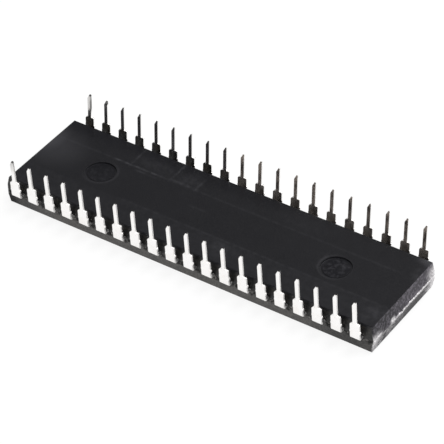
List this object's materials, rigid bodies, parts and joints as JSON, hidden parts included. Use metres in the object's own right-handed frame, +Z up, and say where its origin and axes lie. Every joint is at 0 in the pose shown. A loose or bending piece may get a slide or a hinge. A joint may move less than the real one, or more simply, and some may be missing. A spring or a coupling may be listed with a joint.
{
  "type": "dual in-line integrated circuit",
  "caption": "Black moulded dual in-line integrated circuit on its marked face, with two rows of bent tinned leads for a board or socket",
  "frame": {"origin": "under the centre of the package, on the surface that the marked face lies on", "axes": "+X along the package, away from the index notch; +Y across, towards the row that starts at the notch with the first lead; +Z up, the way that the leads point"},
  "size_m": [0.0525, 0.0162, 0.0078],
  "materials": {
    "moulding_compound": "satin black with a fine mould grain",
    "tinned_lead": "bright dipped tin",
    "frame_metal": "bare stamped strip",
    "die_adhesive": "silver-filled adhesive",
    "silicon": "polished silicon",
    "gold_wire": "drawn gold"
  },
  "bodies": {
    "root": {"moulded_body": "moulding_compound", "die_pad": "frame_metal", "die_attach": "die_adhesive", "die": "silicon", "bond_wires": "gold_wire", "lead_01": "tinned_lead", "lead_02": "tinned_lead", "lead_03": "tinned_lead", "lead_04": "tinned_lead", "lead_05": "tinned_lead", "lead_06": "tinned_lead", "lead_07": "tinned_lead", "lead_08": "tinned_lead", "lead_09": "tinned_lead", "lead_10": "tinned_lead", "lead_11": "tinned_lead", "lead_12": "tinned_lead", "lead_13": "tinned_lead", "lead_14": "tinned_lead", "lead_15": "tinned_lead", "lead_16": "tinned_lead", "lead_17": "tinned_lead", "lead_18": "tinned_lead", "lead_19": "tinned_lead", "lead_20": "tinned_lead", "lead_21": "tinned_lead", "lead_22": "tinned_lead", "lead_23": "tinned_lead", "lead_24": "tinned_lead", "lead_25": "tinned_lead", "lead_26": "tinned_lead", "lead_27": "tinned_lead", "lead_28": "tinned_lead", "lead_29": "tinned_lead", "lead_30": "tinned_lead", "lead_31": "tinned_lead", "lead_32": "tinned_lead", "lead_33": "tinned_lead", "lead_34": "tinned_lead", "lead_35": "tinned_lead", "lead_36": "tinned_lead", "lead_37": "tinned_lead", "lead_38": "tinned_lead", "lead_39": "tinned_lead", "lead_40": "tinned_lead"}
  },
  "joints": []
}
